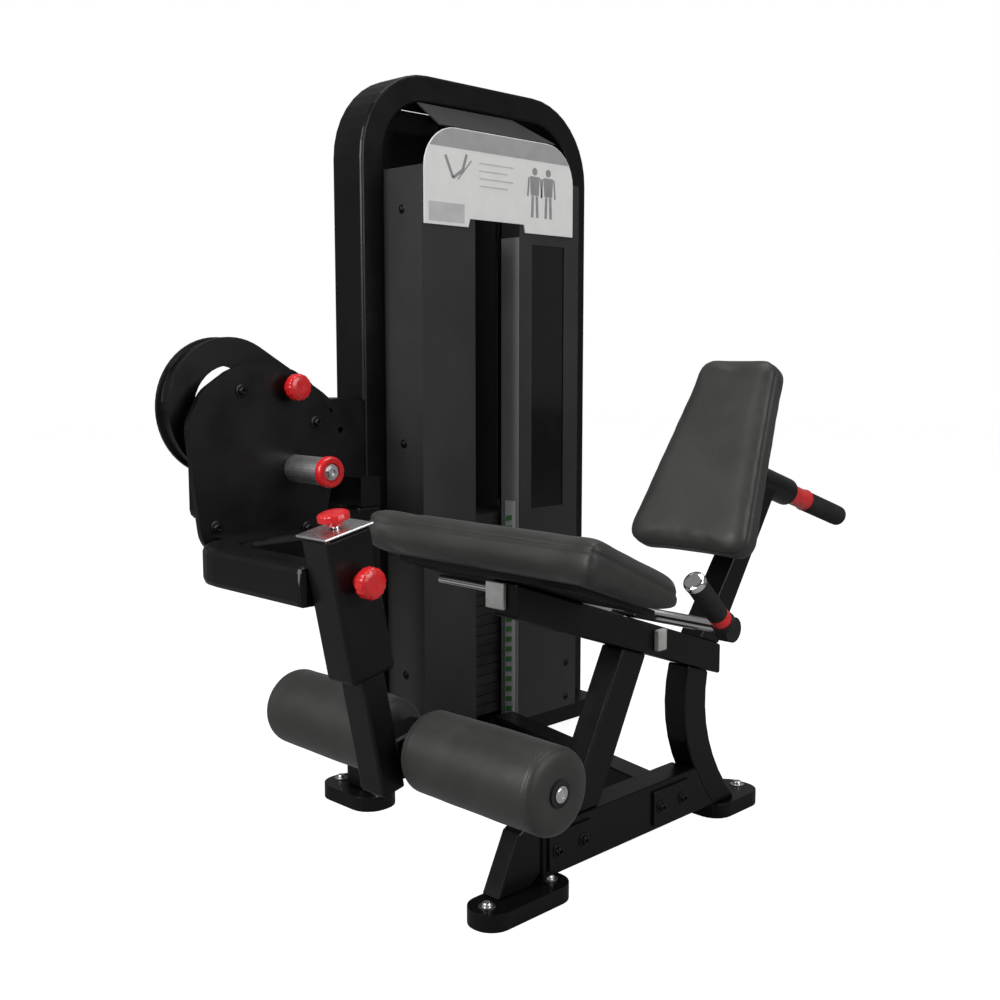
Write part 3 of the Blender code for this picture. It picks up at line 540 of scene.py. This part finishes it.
def make_roller_ends():
    """A black washer and a domed bolt at each end of the roller shaft."""
    low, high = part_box("roller_shaft")
    centre = (low + high) / 2
    mesh_data = bmesh.new()
    for x, side in ((high.x, 1), (low.x, -1)):
        start = Vector((x - side * 0.0028, centre.y, centre.z))
        profile = [(0, 0.0129), (0, 0.019), (0.0004, 0.0205), (0.0014, 0.0205), (0.0018, 0.019), (0.0018, 0.0129)]
        add_turned(mesh_data, profile, start, (side, 0, 0), 48, bored=True)
    piece("roller_end_washers", mesh_data, "black_rubber", "carriage")

    def socket(index, angle):
        return hexagon(angle) if index >= 4 else 1.0

    bolts_at = [((high.x - 0.0020, centre.y, centre.z), (1, 0, 0)), ((low.x + 0.0020, centre.y, centre.z), (-1, 0, 0))]
    mesh_data = bmesh.new()
    for at, direction in bolts_at:
        profile = [(0.0001, 0.0105), (0.0010, 0.0112), (0.0022, 0.0100), (0.0030, 0.0062), (0.0026, 0.0050),
                   (0.0008, 0.0048)]
        add_turned(mesh_data, profile, at, direction, 36, shape=socket)
    piece("roller_end_bolts", mesh_data, "bright_steel", "carriage")


def make_grips():
    """Ribbed rubber sleeves, red collars and chrome ends on the two hand grips."""
    for node in ("grip_far", "grip_near"):
        low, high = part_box(node)
        x = (low.x + high.x) / 2
        base = Vector((x, *GRIP_BASE))
        axis = Vector(GRIP_AXIS)
        length = axis.length
        mesh_data = bmesh.new()
        profile = [(0.024, 0.0172), (0.026, 0.0180), (0.040, 0.0180), (0.042, 0.0172)]
        add_turned(mesh_data, profile, base, axis, 40)
        piece(f"{node}_collar", mesh_data, "red_plastic", "frame")
        mesh_data = bmesh.new()
        profile = [(length - 0.0118, 0.0172), (length - 0.0118, 0.0192), (length - 0.004, 0.0195),
                   (length - 0.001, 0.0180), (length + 0.001, 0.013), (length + 0.0015, 0.006)]
        add_turned(mesh_data, profile, base, axis, 40)
        piece(f"{node}_end", mesh_data, "chrome", "frame")
        mesh_data = bmesh.new()
        profile = [(0.0432, 0.0168)]
        ribs = 9
        run = length - 0.0118 - 0.0445
        for i in range(ribs):
            at = 0.0445 + run * i / ribs
            pitch = run / ribs
            profile += [(at, 0.0174), (at + 0.25 * pitch, 0.0184), (at + 0.65 * pitch, 0.0184),
                        (at + 0.9 * pitch, 0.0174)]
        profile += [(0.0445 + run - 0.0005, 0.0168)]
        add_turned(mesh_data, profile, base, axis, 36)
        piece(f"{node}_sleeve", mesh_data, "black_rubber", "frame")


def make_back_grip():
    """The ribbed rubber grip behind the backrest."""
    low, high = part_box("slide_grip")
    sine, cosine = math.sin(SLIDE_TILT), math.cos(SLIDE_TILT)
    axis = Vector((0, cosine, -sine))
    radius = (high.x - low.x) / 2
    x = (low.x + high.x) / 2
    start = Vector((x, low.y + radius * sine, high.z - radius * cosine))
    length = (high.y - low.y - 2 * radius * sine) / cosine
    profile = [(0, 0.94), (0.002, 0.98)]
    ribs = 11
    for i in range(ribs):
        at = 0.006 + (length - 0.018) * i / ribs
        pitch = (length - 0.018) / ribs
        profile += [(at, 0.93), (at + 0.22 * pitch, 0.985), (at + 0.70 * pitch, 0.985), (at + 0.92 * pitch, 0.93)]
    profile += [(length - 0.010, 0.985), (length - 0.003, 0.97), (length - 0.0005, 0.84), (length - 0.0005, 0.3)]
    mesh_data = bmesh.new()
    add_turned(mesh_data, [(d, r * radius) for d, r in profile], start, axis, 40)
    piece("slide_grip_sleeve", mesh_data, "black_rubber", "back_release", ("slide_grip",))


def make_lifting_cable():
    """The cable over the stack: a coated wire rope, made as one straight run fixed to the frame. On the machine it
    gets shorter, towards the pulley, as the plates rise.
    """
    low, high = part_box("cable_stack_run")
    radius = (high.x - low.x) / 2
    length = high.z - low.z
    rings = 200

    def strands(index, angle):
        return 0.97 + 0.03 * math.cos(6 * (angle + 0.17 * index))

    profile = [(length * i / (rings - 1), radius) for i in range(rings)]
    mesh_data = bmesh.new()
    start = Vector(((low.x + high.x) / 2, (low.y + high.y) / 2, low.z))
    add_turned(mesh_data, profile, start, (0, 0, 1), 24, shape=strands)
    made = piece("stack_cable", mesh_data, "black_rubber", "frame", ("cable_stack_run",))
    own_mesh(made)


# ---- fasteners and small fittings


def make_bolts():
    low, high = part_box("shroud_left")
    side = [((-0.355, low.y, z), (0, -1, 0)) for z in (1.233, 0.736, 0.224)]
    bolts("shroud_side_bolts", "frame", side, 0.006)
    low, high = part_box("shroud_right")
    front = [((high.x, 0.405, z), (1, 0, 0)) for z in (0.18, 0.095)]
    bolts("shroud_front_bolts", "frame", front, 0.005)
    feet = []
    for node, along in (("front_foot", 1), ("rear_foot", 1), ("tower_foot", 0)):
        low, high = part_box(node)
        centre = (low + high) / 2
        for share in (0.14, 0.86):
            at = Vector((centre.x, centre.y, high.z))
            at[along] = low[along] + (high[along] - low[along]) * share
            feet.append((at, (0, 0, 1)))
    bolts("foot_bolts", "frame", feet, 0.009, "bright_steel")
    low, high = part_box("lever_plate")
    plate = [((high.x, y, z), (1, 0, 0)) for y, z in ((-0.54, 0.863), (-0.375, 0.800), (-0.40, 0.60), (-0.60, 0.62))]
    bolts("lever_plate_bolts", "lever", plate, 0.008)
    make_splice_plates()
    make_seat_fittings()


def make_seat_fittings():
    """A chrome stub on the far side of the seat beam's front end, and a pale buffer on its near side."""
    low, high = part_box("seat_beam")
    mesh_data = bmesh.new()
    profile = [(0.0, 0.0065), (0.0015, 0.008), (low.x - 0.1005, 0.008)]
    add_turned(mesh_data, profile, (0.10, low.y + 0.010, 0.541), (1, 0, 0), 28)
    piece("beam_stub", mesh_data, "chrome", "frame")
    mesh_data = bmesh.new()
    add_box(mesh_data, (high.x + 0.0002, -0.013, 0.384), (high.x + 0.012, 0.013, 0.424))
    made = piece("beam_buffer", mesh_data, "grey_plug", "frame")
    edge = made.modifiers.new("edge", "BEVEL")
    edge.width = 0.003
    edge.segments = 3


def make_splice_plates():
    """Two bolted plates on the rail's near side, where its three lengths join."""
    low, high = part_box("seat_rail")
    mesh_data = bmesh.new()
    places = []
    for centre in (-0.245, 0.045):
        outline = [(centre - 0.055, low.z + 0.012), (centre + 0.055, low.z + 0.012),
                   (centre + 0.055, high.z - 0.012), (centre - 0.055, high.z - 0.012)]
        add_loft(mesh_data, [[(x, y, z) for y, z in outline] for x in (high.x + 0.0002, high.x + 0.0052)])
        for y in (centre - 0.034, centre + 0.034):
            places.append(((high.x + 0.0052, y, (low.z + high.z) / 2), (1, 0, 0)))
    made = piece("splice_plates", mesh_data, "frame_paint", "frame")
    edge = made.modifiers.new("edge", "BEVEL")
    edge.width = 0.0012
    edge.segments = 2
    bolts("splice_bolts", "frame", places, 0.008)


# ---- printed pieces


def add_mark(mesh_data, plane, outline):
    """A printed mark on the placard: an outline of (y, z) points, standing just proud of its face."""
    add_loft(mesh_data, [[(x, y, z) for y, z in outline] for x in (plane + 0.0001, plane + PRINT)])


def add_stroke(mesh_data, plane, start, end, width):
    a, b = Vector(start), Vector(end)
    side = (b - a).normalized()
    side = Vector((-side.y, side.x)) * width / 2
    add_mark(mesh_data, plane, [a - side, b - side, b + side, a + side])


def make_print():
    low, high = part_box("instruction_placard")
    plane = high.x
    header = bmesh.new()
    radius = 0.088
    drop = 0.040
    top = high.z - 0.002
    left, right = low.y + 0.002, high.y - 0.002
    reach = math.degrees(math.asin((radius - drop) / radius))
    outline = arc((right - radius, top - radius), radius, reach, 90, 8)
    outline += arc((left + radius, top - radius), radius, 90, 180 - reach, 8)
    add_mark(header, plane, outline)
    piece("placard_header", header, "placard", "frame", look=PRINT_BAND)
    figures = bmesh.new()
    seat = [(0.010, 1.345), (0.032, 1.300), (0.060, 1.318), (0.072, 1.352)]
    for a, b in zip(seat, seat[1:]):
        add_stroke(figures, plane, a, b, 0.007)
    add_stroke(figures, plane, (0.046, 1.298), (0.086, 1.340), 0.003)
    for centre in (0.285, 0.330):
        add_mark(figures, plane, arc((centre, 1.338), 0.0085, 0, 342, 18))
        add_mark(figures, plane, [(centre - 0.013, 1.285), (centre + 0.013, 1.285), (centre + 0.016, 1.327),
                                  (centre - 0.016, 1.327)])
        for side in (-1, 1):
            add_stroke(figures, plane, (centre + side * 0.0065, 1.284), (centre + side * 0.0085, 1.236), 0.008)
            add_stroke(figures, plane, (centre + side * 0.019, 1.324), (centre + side * 0.023, 1.282), 0.005)
    piece("placard_figures", figures, "placard", "frame", look=PRINT_GREY)
    lines = bmesh.new()
    for row in range(4):
        z = 1.338 - row * 0.016
        add_stroke(lines, plane, (0.110, z), (0.215 - 0.018 * (row % 2), z), 0.0026)
    add_mark(lines, plane, [(low.y + 0.012, 1.207), (0.065, 1.207), (0.065, 1.247), (low.y + 0.012, 1.247)])
    piece("placard_lines", lines, "placard", "frame", look=PRINT_PALE)


def make_weight_scale():
    """The strip beside the stack, with a mark for each plate."""
    low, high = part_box("shroud_right")
    face = low.y
    flange = (high.x - 0.058, high.x - 0.002)
    stack_low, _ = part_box("resting_plates")
    _, stack_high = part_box("top_plate")
    count = 20
    pitch = (stack_high.z - stack_low.z) / count
    cover = bmesh.new()
    add_box(cover, (flange[0] + 0.0003, face - 0.0010, low.z + 0.002), (flange[1], face - 0.0002, 1.19))
    # The strip is shroud paint drawn much lighter: painted light on the slot's edge.
    piece("slot_edge_strip", cover, "shroud_paint", "frame", look=SLOT_EDGE_PAINTED_LIGHT)
    strip = bmesh.new()
    xs = (flange[0] + 0.014, flange[1] - 0.010)
    add_box(strip, (xs[0], face - 0.0016, stack_low.z), (xs[1], face - 0.0011, stack_high.z + 0.03))
    piece("weight_scale", strip, "placard", "frame")
    marks = bmesh.new()
    for row in range(count):
        z = stack_low.z + pitch * (row + 0.5)
        corners = [(xs[0] + 0.002, z - 0.007), (xs[1] - 0.010, z - 0.003), (xs[1] - 0.010, z + 0.009),
                   (xs[0] + 0.002, z + 0.005)]
        add_loft(marks, [[(x, y, zz) for x, zz in corners] for y in (face - 0.0021, face - 0.0017)])
    piece("weight_scale_marks", marks, "placard", "frame", look=PRINT_GREEN)


# ---- studio


def area_light(name, place, target, size, power, colour=(1, 1, 1)):
    data = bpy.data.lights.new(name, "AREA")
    data.shape = "RECTANGLE"
    data.size, data.size_y = size
    data.energy = power
    data.color = colour
    made = bpy.data.objects.new(name, data)
    made.location = place
    made.rotation_euler = (Vector(target) - Vector(place)).to_track_quat("-Z", "Y").to_euler()
    bpy.context.scene.collection.objects.link(made)


def seen_only(tree, socket, lit, seen):
    """Gives a strength one value for what the camera sees, and another for the light the machine receives."""
    path = tree.nodes.new("ShaderNodeLightPath")
    spread = tree.nodes.new("ShaderNodeMapRange")
    spread.inputs["To Min"].default_value = lit
    spread.inputs["To Max"].default_value = seen
    tree.links.new(path.outputs["Is Camera Ray"], spread.inputs["Value"])
    tree.links.new(spread.outputs["Result"], socket)


def make_studio():
    low, high = CAD_BOUNDS
    mesh_data = bmesh.new()
    reach = 14.0
    corners = [(-reach, -reach, -0.0005), (reach, -reach, -0.0005), (reach, reach, -0.0005), (-reach, reach, -0.0005)]
    mesh_data.faces.new([mesh_data.verts.new(point) for point in corners])
    mesh = bpy.data.meshes.new("floor")
    mesh_data.to_mesh(mesh)
    mesh_data.free()
    floor_look = Look("floor_paint", specular=0.1)
    floor_look.colour(floor_look.noise(3), (0.27, 0.27, 0.27), (0.29, 0.29, 0.29))
    floor_look.rough(floor_look.noise(8), 0.65, 0.8)
    floor_look.shader.inputs["Emission Color"].default_value = (1.0, 1.0, 1.0, 1.0)
    seen_only(floor_look.tree, floor_look.shader.inputs["Emission Strength"], 0.0, 0.93)
    mesh.materials.append(floor_look.material)
    floor = bpy.data.objects.new("floor", mesh)
    bpy.context.scene.collection.objects.link(floor)
    world = bpy.data.worlds.new("studio")
    world.use_nodes = True
    world.node_tree.nodes["Background"].inputs["Color"].default_value = (1.0, 1.0, 1.0, 1.0)
    seen_only(world.node_tree, world.node_tree.nodes["Background"].inputs["Strength"], 0.20, 1.0)
    bpy.context.scene.world = world
    target = (0.0, 0.0, (low.z + high.z) / 2)
    area_light("key", (-0.6, -4.2, 2.6), target, (2.2, 2.2), 150)
    area_light("fill", (3.9, 0.4, 2.2), target, (2.4, 2.4), 80)
    area_light("top", (0.2, 0.3, 4.2), target, (2.4, 2.4), 60)
    bpy.context.scene.view_settings.view_transform = "Standard"


def make_camera():
    """A viewpoint by the machine's front, on its open side, looking a little down."""
    data = bpy.data.cameras.new("camera")
    data.sensor_width = 36.0
    data.lens = 43.99
    made = bpy.data.objects.new("camera", data)
    made.location = (1.65, -1.78, 0.93)
    made.rotation_euler = (math.radians(90 - 6.84), 0.0, math.radians(44.8))
    bpy.context.scene.collection.objects.link(made)
    bpy.context.scene.camera = made


make_camera()
dress_nodes()
make_pads()
make_pull_knobs()
make_top_knob()
make_axle_end()
make_roller_ends()
make_grips()
make_back_grip()
make_lifting_cable()
make_bolts()
make_print()
make_weight_scale()
make_studio()
